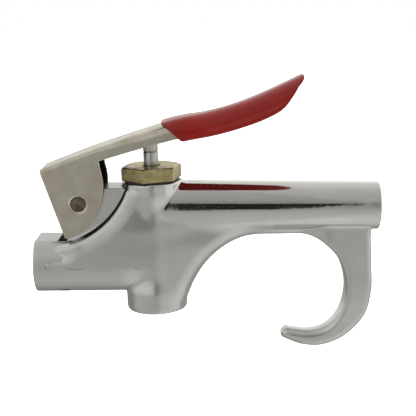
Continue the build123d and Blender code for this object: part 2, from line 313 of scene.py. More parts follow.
def casting_field(x, y, z):
    """The chromed casting, solid, with its outside shape and its passages."""
    side = np.abs(y)
    flank = side - flank_half(x, z)

    inlet_radius = taper(INLET_RADIUS, INLET_ROOT, x, INLET_LENGTH) - 0.6 * ramp(x, 26.0, 36.0)
    inlet = rod(y, z, inlet_radius, 0.0)
    inlet = smooth_max(inlet, z - INLET_FLAT, 0.8)
    inlet = smooth_max(inlet, -x, 0.35)
    inlet = smooth_max(inlet, x - INLET_LENGTH, 1.0)

    # the cheek carries the flank up to the recess, and the plate carries it on to the web and hook
    groove = GROOVE_RADIUS - from_groove(x, z)
    cheek = thick(smooth_max(groove, z - LUG_TOP, 1.0), flank, 1.6)
    cheek = np.maximum(cheek, np.maximum(np.maximum(x - BARREL_START, 4.0 - x), -0.2 - z))
    edge = 5.0 - 3.4 * ramp(x, 62.0, 78.0) + 0.9 * ramp(-z, 14.0, 24.0) * ramp(x, 60.0, 70.0)
    plate = thick(polygon(PLATE_EDGE, x, z), flank, edge)
    plate = np.maximum(plate, np.maximum(z - WEB_TOP, np.minimum(WEB_START - x, z - 3.0)))

    across, along = valve_place(x, z)
    width = np.hypot(across, y)
    boss = smooth_max(width - boss_radius(along), BOSS_FOOT - along, 2.0)
    boss = smooth_max(boss, along - BOSS_TOP, 0.8)

    barrel = rod(y, z, taper(BARREL_ROOT, BARREL_RADIUS, x - 45.0, 60.0), barrel_height)
    barrel = smooth_max(barrel, x - barrel_end, 0.3)
    barrel = smooth_max(barrel, BARREL_START - x, 1.0)

    lug = np.minimum(
        polygon([(10.3, 4.0), (33.0, 4.0), (33.0, LUG_TOP), (pivot[0], LUG_TOP), (9.55, pivot[2])], x, z),
        np.hypot(x - pivot[0], z - pivot[2]) - (LUG_TOP - pivot[2]),
    )
    lug = thick(lug, side - LUG_HALF, 0.45)

    body = np.minimum(np.minimum(inlet, cheek), plate)
    body = smooth_min(body, boss, 1.2)
    recess = np.maximum(np.maximum(-groove, LUG_HALF - side), RECESS_FLOOR - z)
    body = smooth_max(body, -recess, 0.35)
    body = smooth_min(body, barrel, 0.8 + 1.8 * ramp(x, 42.0, 50.0) - 1.6 * ramp(x, 72.0, 86.0))
    body = smooth_min(body, lug, 0.35)

    pocket = np.maximum(POCKET_ENDS[0] - x, x - POCKET_ENDS[1])
    pocket = np.maximum(pocket, np.maximum(POCKET_FLOOR - z, side - POCKET_HALF))
    body = smooth_max(body, -pocket, 0.4)
    return smooth_max(body, -hollow_field(x, y, z, width, along), 0.6)


def gradient(points, field):
    """The gradient of a field at points, by central differences."""
    step = 0.04
    parts = []
    for axis in range(3):
        shift = np.zeros(3)
        shift[axis] = step
        high = field(*(points + shift).T)
        low = field(*(points - shift).T)
        parts.append((high - low) / (2 * step))
    return np.stack(parts, axis=1)


def settle(points, field, reach):
    """Points drawn onto the zero surface of a field, moving no further than a reach each time."""
    for _ in range(4):
        slope = gradient(points, field)
        size = np.maximum((slope * slope).sum(axis=1), 0.2)
        move = slope * (field(*points.T) / size)[:, None]
        length = np.linalg.norm(move, axis=1, keepdims=True)
        points = points - move * np.minimum(1.0, reach / np.maximum(length, 1e-9))
    return points


def surface(field, low, high, step):
    """The zero surface of a field as points and quads, by surface nets on a grid."""
    axes = [np.arange(a - 1.5 * step, b + 2.5 * step, step) for a, b in zip(low, high)]
    x, y, z = np.meshgrid(*axes, indexing="ij", sparse=True)
    values = np.broadcast_to(field(x, y, z), [len(a) for a in axes])
    inside = values < 0
    cells = tuple(n - 1 for n in values.shape)
    total = np.zeros(cells + (3,))
    count = np.zeros(cells)
    corners = [(0, 0), (0, 1), (1, 0), (1, 1)]
    crossings = []

    # each cell's point is the middle of the places where the surface cuts its edges
    for axis in range(3):
        others = [k for k in range(3) if k != axis]
        a = [slice(None)] * 3
        b = [slice(None)] * 3
        a[axis] = slice(0, -1)
        b[axis] = slice(1, None)
        va, vb = values[tuple(a)], values[tuple(b)]
        cut = inside[tuple(a)] != inside[tuple(b)]
        share = np.where(cut, va / np.where(cut, va - vb, 1.0), 0.0)
        crossings.append((cut, inside[tuple(a)]))
        for p, q in corners:
            pick = [slice(None)] * 3
            pick[others[0]] = slice(p, values.shape[others[0]] - 1 + p)
            pick[others[1]] = slice(q, values.shape[others[1]] - 1 + q)
            c = cut[tuple(pick)]
            count += c
            total[..., axis] += share[tuple(pick)] * c
            total[..., others[0]] += p * c
            total[..., others[1]] += q * c
    used = count > 0
    index = np.full(cells, -1)
    index[used] = np.arange(used.sum())
    place = np.stack(np.nonzero(used), axis=1) + total[used] / count[used][:, None]
    points = place * step + np.array([a[0] for a in axes])

    # each cut edge of the grid gives a quad between the four cells round it
    quads = []
    for axis, (cut, starts_inside) in enumerate(crossings):
        i, j, k = np.nonzero(cut)
        grid = [i, j, k]
        others = [n for n in range(3) if n != axis]
        ring = []
        for p, q in ((-1, -1), (0, -1), (0, 0), (-1, 0)):
            at = list(grid)
            at[others[0]] = grid[others[0]] + p
            at[others[1]] = grid[others[1]] + q
            ring.append(index[tuple(at)])
        quad = np.stack(ring, axis=1)
        flip = starts_inside[i, j, k] if axis != 1 else ~starts_inside[i, j, k]
        quads.append(np.where(flip[:, None], quad, quad[:, ::-1]))
    return settle(points, field, 0.5 * step), np.concatenate(quads)


def mesh_object(name, points, faces, normals=None):
    """A smooth-shaded mesh in metres from points in millimetres."""
    mesh = bpy.data.meshes.new(name)
    mesh.from_pydata((points * MM).tolist(), [], [list(map(int, f)) for f in faces])
    mesh.validate()
    mesh.shade_smooth()
    if normals is not None:
        size = np.maximum(np.linalg.norm(normals, axis=1, keepdims=True), 1e-9)
        mesh.normals_split_custom_set_from_vertices((normals / size).tolist())
    made = bpy.data.objects.new(name, mesh)
    scene.collection.objects.link(made)
    return made


def field_piece(name, field, low, high, step, place=None):
    """A closed piece from a distance field, moved by a function where one is given."""
    points, faces = surface(field, low, high, step)
    normals = gradient(points, field)
    if place is not None:
        normals = place(normals) - place(np.zeros(3))
        points = place(points)
    return mesh_object(name, points, faces, normals)


# ---------------------------------------------------------------- lever and grip

# the lever's back, the low edge of its flanges and its whole side outline, in X and Z
LEVER_TOP = spline(
    [(-14.0, 22.6), (2.9, 30.35), (15.2, 35.2), (27.4, 39.5), (39.6, 43.5), (46.5, 45.3), (53.5, 46.55),
     (61.0, 48.55), (68.5, 51.3), (75.5, 54.4), (81.8, 57.4), (92.0, 62.4)], 6
)
LEVER_SPACE = LEVER_TOP + [(92.0, -10.0), (-14.0, -10.0)]
FLANGE_LOW = spline(
    [(20.8, 33.0), (30.4, 35.9), (39.6, 38.5), (47.5, 40.4), (56.0, 42.05), (64.0, 44.3), (71.0, 46.9),
     (75.9, 49.7), (78.6, 53.0), (80.6, 56.2)], 5
)
EAR_EDGE = [(21.3, 30.2)] + arc(EAR_CENTRE, EAR_RADIUS, 12, -68, 14) + [(10.6, 8.7), (9.85, 8.95)]
LEVER_SIDE = EAR_EDGE + [(2.0, 31.9), (1.7, 40.0), (60.0, 64.0), (95.0, 66.0), (84.5, 60.0)]
LEVER_SIDE += FLANGE_LOW[::-1]


def bend_radius(x):
    """The pressed lever's outer bend, tight over the ears and full over the grip."""
    return 1.3 + 1.7 * ramp(x, 16.0, 42.0) + 2.4 * ramp(x, 40.0, 58.0)


def tip_plan(x, side, half, end, radius):
    """Rounds the free end of a plate as seen from above."""
    across = np.maximum(side - (half - radius), 0.0)
    along = np.maximum(x - (end - radius), 0.0)
    return np.hypot(across, along) - radius


def lever_field(x, y, z):
    """The pressed steel channel with its two ears and pin holes."""
    side = np.abs(y)
    top = polygon(LEVER_SPACE, x, z)
    outer = thick(top, side - lever_half, bend_radius(x))
    inner = thick(top + SHEET, side - (lever_half - SHEET), np.maximum(bend_radius(x) - SHEET, 0.35))
    shell = smooth_max(outer, -inner, 0.3)
    shell = smooth_max(shell, polygon(LEVER_SIDE, x, z), 0.35)
    shell = smooth_max(shell, tip_plan(x, side, lever_half + 0.5, LEVER_END, 5.0), 0.3)
    around = np.hypot(x - pivot[0], z - pivot[2])
    sink = np.clip((side - (lever_half - 0.35)) / 0.35, 0.0, 1.0)
    return smooth_max(shell, PIN_HOLE + 0.69 * sink - around, 0.12)


def grip_field(x, y, z):
    """The dipped coat: an outer skin, an inner skin and a bead over the flange edges, less the steel."""
    side = np.abs(y)
    top = polygon(LEVER_SPACE, x, z)
    depth = COAT - top
    crease = 0.22 * np.exp(-(((depth - 4.6) / 0.75) ** 2)) * ramp(x, 48.0, 62.0)
    flare = 0.3 * ramp(depth, 4.8, 7.0)
    outer = thick(top - COAT + 0.2, side - (lever_half + COAT - 0.3) + crease - flare, bend_radius(x) + COAT)
    inner = thick(top + SHEET + COAT, side - (lever_half - SHEET - COAT), 1.2)
    shell = smooth_max(outer, -inner, 1.2)
    shell = smooth_max(shell, polygon(LEVER_SIDE, x, z) - COAT, 1.5)
    shell = smooth_max(shell, tip_plan(x, side, lever_half + 1.4, GRIP_END, 6.0), 1.6)
    front = (43.7 - x) * 0.66 + (40.5 - z) * 0.75 + 0.5 * ramp(side, 2.0, 8.0)
    shell = smooth_max(shell, front, 0.9)
    return np.maximum(shell, 0.02 - lever_field(x, y, z))


# ---------------------------------------------------------------- valve parts

def on_valve(points):
    """Moves points drawn about Z onto the valve's leaning axis."""
    turn = np.array([[math.cos(lean), 0, -math.sin(lean)], [0, 1, 0], [math.sin(lean), 0, math.cos(lean)]])
    return np.asarray(points, float) @ turn.T + np.array([VALVE_FOOT_X, 0.0, 0.0])


def bonnet_field(x, y, z):
    """The brass cartridge with its hexagon, about its own axis."""
    width = np.hypot(x, y)
    flats = width - HEX_FLATS
    for step in range(6):
        turn = HEX_TURN + math.radians(30 + 60 * step)
        flats = smooth_max(flats, x * math.cos(turn) + y * math.sin(turn) - HEX_FLATS / 2, 0.35)
    head = smooth_max(flats, z - HEX_HIGH, 0.5)
    head = smooth_max(head, HEX_LOW - z, 0.3)
    head = smooth_max(head, (width - 8.75) * 0.5 + (z - HEX_HIGH) * 0.866, 0.4)

    # the cartridge below the head: a shank with a waist for the air, a seal groove and a seat lip
    shank = np.maximum(width - CARTRIDGE_BORE + 0.05, z - HEX_LOW - 0.5)
    waist = np.maximum(4.7 - width, np.maximum(z - 21.4, 14.3 - z))
    shank = smooth_max(smooth_max(shank, -waist, 0.3), CARTRIDGE_LOW - z, 0.3)
    groove = np.maximum(5.15 - width, np.maximum(12.2 - z, z - 13.6))
    shank = np.maximum(shank, -groove)
    body = np.minimum(head, shank)
    body = np.minimum(body, np.maximum(width - 3.4, np.maximum(11.1 - z, z - 13.0)))

    # the stepped bore for the stem and its seal, and four cross ports
    bore = 2.8 - 0.4 * (z > 19.8) + 0.55 * (z > 27.6) + 0.35 * ramp(z, 30.3, 31.0)
    body = smooth_max(body, bore - width, 0.15)
    ports = 1.5 - np.minimum(np.hypot(x, z - 16.9), np.hypot(y, z - 16.9))
    return np.maximum(body, np.minimum(ports, 8.0 - width))


def lathe(name, profile, place, segments=72, sharp=28.0):
    """A closed profile of (radius, height) points turned about Z, then placed by a function."""
    count = len(profile)
    points = []
    for step in range(segments):
        turn = 2 * math.pi * step / segments
        points += [(r * math.cos(turn), r * math.sin(turn), h) for r, h in profile]
    faces = []
    for step in range(segments):
        a, b = step * count, (step + 1) % segments * count
        for k in range(count):
            n = (k + 1) % count
            if profile[k][0] > 0.0 or profile[n][0] > 0.0:
                faces.append((a + k, b + k, b + n, a + n))
    made = mesh_object(name, place(np.array(points)), faces)
    clean(made, sharp)
    return made


def clean(made, sharp):
    """Joins the doubled points on an axis, turns faces outwards and keeps the sharp edges crisp."""
    mesh = bmesh.new()
    mesh.from_mesh(made.data)
    bmesh.ops.remove_doubles(mesh, verts=mesh.verts, dist=1e-7)
    bmesh.ops.dissolve_degenerate(mesh, edges=mesh.edges, dist=1e-8)
    bmesh.ops.recalc_face_normals(mesh, faces=mesh.faces)
    mesh.to_mesh(made.data)
    mesh.free()
    made.data.shade_smooth()
    made.data.set_sharp_from_angle(angle=math.radians(sharp))


def rounded(points, radius, steps=4):
    """A profile with each of its corners cut round, where there is room."""
    out = []
    count = len(points)
    for k in range(count):
        here = np.array(points[k], float)
        before = np.array(points[k - 1], float) - here
        after = np.array(points[(k + 1) % count], float) - here
        room = min(radius, 0.45 * np.linalg.norm(before), 0.45 * np.linalg.norm(after))
        if here[0] < 1e-6 or room < 1e-4:
            out.append(tuple(here))
            continue
        a = here + before / np.linalg.norm(before) * room
        b = here + after / np.linalg.norm(after) * room
        for t in np.linspace(0.0, 1.0, steps):
            out.append(tuple((1 - t) ** 2 * a + 2 * t * (1 - t) * here + t * t * b))
    return out


def thread_sleeve(name, place, drill, depth, pitch, length):
    """The cut thread inside a port: a helical groove on the inner wall of a thin tube."""
    around, along = 64, int(length / pitch * 10)
    points, faces = [], []
    for j in range(along + 1):
        h = length * j / along
        for i in range(around):
            turn = 2 * math.pi * i / around
            phase = (h / pitch + i / around) % 1.0
            tooth = abs(2.0 * phase - 1.0)
            radius = drill + depth * min(max(1.25 * tooth - 0.12, 0.0), 1.0)
            radius += 0.5 * ramp(-h, -1.0, 0.0)
            points.append((radius * math.cos(turn), radius * math.sin(turn), h))
    outer = drill + depth + 0.55
    for j in range(2):
        for i in range(around):
            turn = 2 * math.pi * i / around
            points.append((outer * math.cos(turn), outer * math.sin(turn), length * j))
    start = (along + 1) * around
    for i in range(around):
        n = (i + 1) % around
        for j in range(along):
            a, b = j * around, (j + 1) * around
            faces.append((a + i, b + i, b + n, a + n))
        faces.append((start + i, start + n, start + around + n, start + around + i))
        faces.append((i, n, start + n, start + i))
        last = along * around
        faces.append((last + i, start + around + i, start + around + n, last + n))
    made = mesh_object(name, place(np.array(points)), faces)
    clean(made, 50.0)
    return made


def coil(name, low, high, mean, wire, turns):
    """A round-wire compression spring with closed ends, as a swept tube."""
    around, steps = 10, turns * 40
    closed = 1.0
    points, faces = [], []
    for j in range(steps + 1):
        t = turns * j / steps
        share = np.clip((t - closed * 0.5) / (turns - closed), 0.0, 1.0)
        height = low + wire + (high - low - 2 * wire) * share
        turn = 2 * math.pi * t
        for i in range(around):
            tilt = 2 * math.pi * i / around
            radius = mean + wire * math.cos(tilt)
            points.append((radius * math.cos(turn), radius * math.sin(turn), height + wire * math.sin(tilt)))
    for j in range(steps):
        a, b = j * around, (j + 1) * around
        for i in range(around):
            n = (i + 1) % around
            faces.append((a + i, b + i, b + n, a + n))
    faces.append(tuple(range(around)))
    faces.append(tuple(range(steps * around, (steps + 1) * around))[::-1])
    made = mesh_object(name, on_valve(np.array(points)), faces)
    clean(made, 60.0)
    return made


# ---------------------------------------------------------------- materials

class Tree:
    """Adds nodes to a node tree and links them."""

    def __init__(self, tree):
        self.tree = tree

    def add(self, kind, inputs=None, out=0, **settings):
        """A new node with its settings, and its inputs set or linked; gives one of its outputs."""
        made = self.tree.nodes.new("ShaderNode" + kind)
        for key, value in settings.items():
            setattr(made, key, value)
        for key, value in (inputs or {}).items():
            if isinstance(value, bpy.types.NodeSocket):
                self.tree.links.new(value, made.inputs[key])
            else:
                made.inputs[key].default_value = value
        return made.outputs[out]

    def calc(self, operation, *values):
        """One Math node."""
        return self.add("Math", dict(enumerate(values)), operation=operation)

    def product(self, *values):
        """Several values multiplied together."""
        total = values[0]
        for value in values[1:]:
            total = self.calc("MULTIPLY", total, value)
        return total

    def offset(self, value, centre):
        """How far a value is from a centre, either way."""
        return self.calc("ABSOLUTE", self.calc("SUBTRACT", value, centre))

    def noise(self, vector, scale, detail=2.0, roughness=0.5):
        """Noise with features of about 1000 / scale millimetres."""
        inputs = {"Vector": vector, "Scale": scale, "Detail": detail, "Roughness": roughness}
        return self.add("TexNoise", inputs)

    def fit(self, value, low, high, new_low, new_high):
        """A value moved from one range to another, and held there."""
        inputs = {"Value": value, "From Min": low, "From Max": high, "To Min": new_low, "To Max": new_high}
        return self.add("MapRange", inputs)

    def mask(self, value, full, none):
        """1 where a value is at full or further, falling to 0 at none."""
        return self.fit(value, none, full, 0.0, 1.0)

    def blend(self, share, a, b):
        """A mix of two colours."""
        return self.add("Mix", {0: share, 6: a, 7: b}, out=2, data_type="RGBA")

    def bump(self, height, distance, normal=None):
        """A bump of some millimetres, on top of another one where it is given."""
        inputs = {"Height": height, "Distance": distance * MM, "Strength": 1.0}
        if normal is not None:
            inputs["Normal"] = normal
        return self.add("Bump", inputs)


def material(name):
    """A new material: its tree, its shader and the object's own coordinates."""
    made = bpy.data.materials.new(name)
    made.use_nodes = True
    tree = Tree(made.node_tree)
    shader = made.node_tree.nodes["Principled BSDF"]
    return made, tree, shader, tree.add("TexCoord", out="Object")


def set_shader(tree, shader, **values):
    """Sets or links the shader's inputs; an underscore in a name stands for a space."""
    for key, value in values.items():
        socket = shader.inputs[key.replace("_", " ")]
        if isinstance(value, bpy.types.NodeSocket):
            tree.tree.links.new(value, socket)
        else:
            socket.default_value = value


def rgb(r, g, b):
    """An opaque colour."""
    return (r, g, b, 1.0)


def stretched(tree, place, x, y, z):
    """Coordinates scaled along each axis, for a grain with a direction."""
    return tree.add("Mapping", {"Vector": place, "Scale": (x, y, z)})


def split(tree, vector, scale=1.0):
    """The three parts of a vector, scaled."""
    scaled = tree.add("VectorMath", {0: vector, "Scale": scale}, operation="SCALE")
    made = tree.tree.nodes.new("ShaderNodeSeparateXYZ")
    tree.tree.links.new(scaled, made.inputs[0])
    return made.outputs


def casting_marks(tree, place):
    """Masks on the casting: painted shade on its inlet flat and lug shelf, painted shade in its pocket and
    recess corner, a painted highlight by the recess edge, and its polished barrel.
    """
    x, y, z = split(tree, place, 1 / MM)
    side = tree.calc("ABSOLUTE", y)

    # painted shade: the inlet's flat top and the lug's top shelf are darkened towards grey, standing in for
    # a dark reflection on the flat and the shadow on the shelf between the ear and the nut
    painted_flat_shade = tree.product(tree.mask(z, 7.6, 7.3), tree.mask(x, 10.2, 10.8), 0.8)
    painted_shelf_shade = tree.product(tree.mask(z, 24.2, 24.0), tree.mask(side, 5.6, 5.9))
    painted_shelf_shade = tree.product(painted_shelf_shade, tree.mask(x, 27.5, 28.5), 1.4)
    dull_tone_and_painted_shade = tree.calc("MAXIMUM", painted_flat_shade, painted_shelf_shade)

    # painted shade: the pocket and the corner along the recess's curved wall are coloured near black, and
    # made rougher, standing in for the shade in these hollows
    pocket = tree.mask(tree.offset(x, sum(POCKET_ENDS) / 2), 1.35, 1.7)
    pocket = tree.product(pocket, tree.mask(z, 7.6, 7.9), tree.mask(side, 5.3, 5.6))
    across = tree.calc("SUBTRACT", x, GROOVE_CENTRE[0])
    up = tree.calc("SUBTRACT", z, GROOVE_CENTRE[1])
    reach = tree.calc("SQRT", tree.calc("ADD", tree.product(across, across), tree.product(up, up)))
    corner = tree.mask(tree.offset(reach, GROOVE_RADIUS), 0.25, 0.45)
    corner = tree.product(corner, tree.mask(side, 8.5, 8.9), tree.mask(z, 9.4, 8.2))
    painted_recess_shade = tree.calc("MAXIMUM", pocket, corner)

    # painted highlight: a thin near-white line just inside the recess's curved edge, standing in for a
    # bright reflection
    painted_highlight = tree.mask(tree.offset(reach, GROOVE_RADIUS - 0.75), 0.15, 0.35)
    painted_highlight = tree.product(painted_highlight, tree.mask(z, 11.0, 14.0), tree.mask(z, 8.3, 7.9))
    painted_highlight = tree.product(painted_highlight, tree.calc("SUBTRACT", 1.0, painted_recess_shade))

    above_web = tree.calc("SUBTRACT", z, tree.fit(x, BARREL_START, 60.0, 13.4, 12.0))
    polished = tree.product(tree.mask(above_web, 0.6, -0.6), tree.mask(x, 40.0, 37.0))
    return dull_tone_and_painted_shade, painted_recess_shade, painted_highlight, polished


def chrome_material():
    """Plating over zinc: waves, orange peel, pits and haze, polished on the barrel and satin elsewhere."""
    made, tree, shader, place = material("chrome_casting")
    dull_tone_and_painted_shade, painted_recess_shade, painted_highlight, polished = casting_marks(tree, place)
    waves = tree.noise(place, 150.0, 2.0)
    peel = tree.noise(place, 1100.0, 2.0)
    grain = tree.noise(place, 5200.0, 1.0)
    haze = tree.fit(tree.noise(place, 60.0, 5.0, 0.6), 0.35, 0.7, 0.0, 1.0)
    pits = tree.fit(tree.noise(place, 1700.0, 1.0), 0.7, 0.78, 0.0, 1.0)
    normal = tree.bump(waves, 0.05)
    normal = tree.bump(peel, 0.0045, normal)
    normal = tree.bump(grain, 0.0006, normal)
    normal = tree.bump(pits, -0.01, normal)
    colour = tree.blend(haze, rgb(0.60, 0.60, 0.585), rgb(0.555, 0.55, 0.53))
    # painted shade on the inlet flat and the lug shelf
    colour = tree.blend(dull_tone_and_painted_shade, colour, rgb(0.36, 0.37, 0.38))
    colour = tree.blend(tree.product(pits, 0.5), colour, rgb(0.3, 0.3, 0.29))
    # painted shade in the pocket and the recess corner
    colour = tree.blend(painted_recess_shade, colour, rgb(0.035, 0.033, 0.03))
    # painted highlight along the recess edge
    colour = tree.blend(painted_highlight, colour, rgb(0.97, 0.97, 0.96))
    rough = tree.calc("ADD", tree.fit(haze, 0.0, 1.0, 0.09, 0.16), tree.fit(grain, 0.3, 0.7, -0.02, 0.02))
    rough = tree.calc("MAXIMUM", rough, tree.product(painted_recess_shade, 0.7))
    rough = tree.calc("ADD", rough, tree.fit(polished, 0.0, 1.0, 0.17, -0.03))
    set_shader(tree, shader, Base_Color=colour, Metallic=1.0, Roughness=rough, Normal=normal)
    return made


def nickel_material():
    """Satin nickel on rolled sheet: fine lines along the lever, warm tarnish, dark specks, scratches and
    painted shade on the channel's inner faces.
    """
    made, tree, shader, place = material("nickel_steel")
    lines = tree.noise(stretched(tree, place, 0.06, 1.0, 1.0), 5200.0, 3.0, 0.6)
    cloud = tree.noise(place, 180.0, 4.0, 0.6)
    specks = tree.fit(tree.noise(place, 2300.0, 2.0), 0.66, 0.76, 0.0, 1.0)
    scratch = tree.fit(tree.noise(stretched(tree, place, 0.25, 0.25, 2.2), 1500.0, 1.0), 0.66, 0.7, 0.0, 1.0)
    tarnish = tree.fit(cloud, 0.35, 0.68, 0.0, 1.0)
    colour = tree.blend(tarnish, rgb(0.56, 0.53, 0.46), rgb(0.46, 0.42, 0.33))
    colour = tree.blend(tree.product(specks, 0.55), colour, rgb(0.24, 0.2, 0.15))
    normal = tree.bump(cloud, 0.03)
    normal = tree.bump(lines, 0.0022, normal)
    normal = tree.bump(scratch, 0.002, normal)
    x, y, z = split(tree, place, 1 / MM)
    # painted shade: the channel's inner faces, below a line that climbs along the lever, are coloured near
    # black
    under = tree.calc("SUBTRACT", z, tree.product(x, 0.36))
    inside = tree.product(tree.mask(tree.calc("ABSOLUTE", y), 6.25, 6.5), tree.mask(under, 28.5, 28.9))
    colour = tree.blend(inside, colour, rgb(0.06, 0.056, 0.05))
    rough = tree.calc("ADD", tree.fit(tarnish, 0.0, 1.0, 0.27, 0.38), tree.fit(lines, 0.3, 0.7, -0.05, 0.05))
    set_shader(tree, shader, Base_Color=colour, Metallic=1.0, Roughness=rough, Normal=normal)
    return made


def vinyl_material():
    """Dipped red vinyl: glossy skin over soft colour, slow flow waves and a fine leathery grain."""
    made, tree, shader, place = material("red_vinyl")
    flow = tree.noise(stretched(tree, place, 0.6, 1.0, 1.0), 240.0, 2.0)
    grain = tree.noise(place, 1900.0, 3.0, 0.6)
    cloud = tree.fit(tree.noise(place, 130.0, 4.0), 0.35, 0.68, 0.0, 1.0)
    dust = tree.fit(tree.noise(place, 3400.0, 1.0), 0.7, 0.77, 0.0, 1.0)
    colour = tree.blend(cloud, rgb(0.35, 0.0095, 0.0065), rgb(0.265, 0.0075, 0.0055))
    colour = tree.blend(tree.product(dust, 0.25), colour, rgb(0.5, 0.3, 0.28))
    normal = tree.bump(flow, 0.08)
    normal = tree.bump(grain, 0.012, normal)
    rough = tree.calc("ADD", tree.fit(cloud, 0.0, 1.0, 0.22, 0.3), tree.fit(grain, 0.3, 0.7, -0.04, 0.04))
    set_shader(tree, shader, Base_Color=colour, Roughness=rough, Normal=normal, IOR=1.4)
    set_shader(tree, shader, Subsurface_Weight=0.08, Subsurface_Scale=MM, Subsurface_Radius=(0.8, 0.1, 0.06))
    return made


def brass_material():
    """Turned brass bar, dull with age: turning marks, brown tarnish and brighter rubbed patches."""
    made, tree, shader, place = material("brass")
    turned = tree.noise(stretched(tree, place, 0.15, 0.15, 3.0), 1500.0, 2.0)
    cloud = tree.fit(tree.noise(place, 330.0, 4.0, 0.6), 0.33, 0.68, 0.0, 1.0)
    specks = tree.fit(tree.noise(place, 2100.0, 2.0), 0.63, 0.74, 0.0, 1.0)
    colour = tree.blend(cloud, rgb(0.5, 0.43, 0.225), rgb(0.26, 0.205, 0.095))
    colour = tree.blend(tree.product(specks, 0.6), colour, rgb(0.12, 0.085, 0.045))
    normal = tree.bump(cloud, 0.03)
    normal = tree.bump(turned, 0.004, normal)
    rough = tree.calc("ADD", tree.fit(cloud, 0.0, 1.0, 0.3, 0.44), tree.fit(turned, 0.3, 0.7, -0.05, 0.05))
    set_shader(tree, shader, Base_Color=colour, Metallic=1.0, Roughness=rough, Normal=normal)
    return made


def turned_material(name, bright, dull_tone_and_painted_shade, rough_low, rough_high):
    """A turned steel part: rings along its length, a little haze and a few dark specks."""
    made, tree, shader, place = material(name)
    rings = tree.noise(stretched(tree, place, 0.2, 0.2, 2.5), 1800.0, 2.0)
    cloud = tree.fit(tree.noise(place, 420.0, 4.0, 0.6), 0.34, 0.68, 0.0, 1.0)
    specks = tree.fit(tree.noise(place, 2600.0, 2.0), 0.64, 0.75, 0.0, 1.0)
    colour = tree.blend(cloud, bright, dull_tone_and_painted_shade)
    dark = tuple(0.35 * c for c in dull_tone_and_painted_shade[:3]) + (1.0,)
    colour = tree.blend(tree.product(specks, 0.5), colour, dark)
    normal = tree.bump(rings, 0.004)
    rough = tree.fit(cloud, 0.0, 1.0, rough_low, rough_high)
    rough = tree.calc("ADD", rough, tree.fit(rings, 0.3, 0.7, -0.04, 0.04))
    set_shader(tree, shader, Base_Color=colour, Metallic=1.0, Roughness=rough, Normal=normal)
    return made


def rubber_material():
    """Black nitrile rubber with moulding grain and a little grey bloom."""
    made, tree, shader, place = material("black_rubber")
    grain = tree.noise(place, 2400.0, 3.0, 0.6)
    bloom = tree.fit(tree.noise(place, 500.0, 3.0), 0.4, 0.7, 0.0, 1.0)
    colour = tree.blend(bloom, rgb(0.012, 0.012, 0.012), rgb(0.03, 0.029, 0.028))
    normal = tree.bump(grain, 0.01)
    rough = tree.fit(bloom, 0.0, 1.0, 0.5, 0.68)
    set_shader(tree, shader, Base_Color=colour, Roughness=rough, Normal=normal)
    return made


FINISH = {
    "chrome_casting": chrome_material(),
    "nickel_steel": nickel_material(),
    "red_vinyl": vinyl_material(),
    "brass": brass_material(),
    "dark_steel": turned_material("dark_steel", rgb(0.2, 0.165, 0.12), rgb(0.1, 0.08, 0.055), 0.4, 0.6),
    "zinc_steel": turned_material("zinc_steel", rgb(0.56, 0.56, 0.53), rgb(0.46, 0.455, 0.42), 0.22, 0.34),
    "spring_steel": turned_material("spring_steel", rgb(0.45, 0.44, 0.42), rgb(0.3, 0.29, 0.27), 0.25, 0.4),
    "black_rubber": rubber_material(),
}


def fitted(made, slot, body, *nodes):
    """Gives a piece its finish, its body and the CAD nodes that it stands for."""
    made.data.materials.clear()
    made.data.materials.append(FINISH[slot])
    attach(made, body)
    if nodes:
        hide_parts(*nodes)


# ---------------------------------------------------------------- the pieces

casting = field_piece("casting", casting_field, cast_low, cast_high, 0.5)
fitted(casting, "chrome_casting", "body", "body_casting")


def at_hose(points):
    """From about Z to along X, inwards from the hose port's mouth."""
    return np.stack([points[:, 2], points[:, 0], points[:, 1]], axis=1)


def at_nozzle(points):
    """From about Z to along X, inwards from the barrel's end."""
    return np.stack([barrel_end - points[:, 2], points[:, 0], points[:, 1] + barrel_height], axis=1)


hose_thread = thread_sleeve("hose_thread", at_hose, hose_drill, HOSE_THREAD, HOSE_PITCH, hose_depth - 0.5)
fitted(hose_thread, "chrome_casting", "body")
nozzle_thread = thread_sleeve(
    "nozzle_thread", at_nozzle, nozzle_drill, NOZZLE_THREAD, NOZZLE_PITCH, nozzle_depth - 0.5
)
fitted(nozzle_thread, "chrome_casting", "body")

lever = field_piece("lever_steel", lever_field, lever_low, lever_high, 0.3)
fitted(lever, "nickel_steel", "lever", "lever")
grip = field_piece("grip_coat", grip_field, grip_low, grip_high, 0.4)
fitted(grip, "red_vinyl", "lever", "lever_grip")

pin_profile = [(0.0, -PIN_HALF + 0.35), (1.0, -PIN_HALF + 0.3), (1.6, -PIN_HALF), (PIN_RADIUS, -PIN_HALF)]
pin_profile += [(r, -h) for r, h in pin_profile[::-1]]


def at_pin(points):
    """From about Z to along Y, through the pivot."""
    turned = np.stack([points[:, 0], points[:, 2], -points[:, 1]], axis=1)
    return turned + np.array([pivot[0], 0.0, pivot[2]])


pin = lathe("hinge_pin", rounded(pin_profile, 0.3), at_pin)
fitted(pin, "dark_steel", "body", "pivot_pin")

bonnet = field_piece("valve_nut", bonnet_field, (-10.0, -10.0, 10.8), (10.0, 10.0, 31.0), 0.3, on_valve)
fitted(bonnet, "brass", "body", "valve_bonnet")
gasket_profile = [(6.25, 26.0), (8.6, 26.0), (8.6, HEX_LOW), (6.25, HEX_LOW)]
gasket = lathe("nut_gasket", rounded(gasket_profile, 0.15), on_valve)
fitted(gasket, "black_rubber", "body", "bonnet_gasket")


def torus_profile(middle, height, radius):
    """A round section about the valve axis."""
    return arc((middle, height), radius, 0, 345, 24)


cartridge_ring = lathe("cartridge_seal", torus_profile(5.66, 12.9, 0.5), on_valve)
fitted(cartridge_ring, "black_rubber", "body", "cartridge_o_ring")

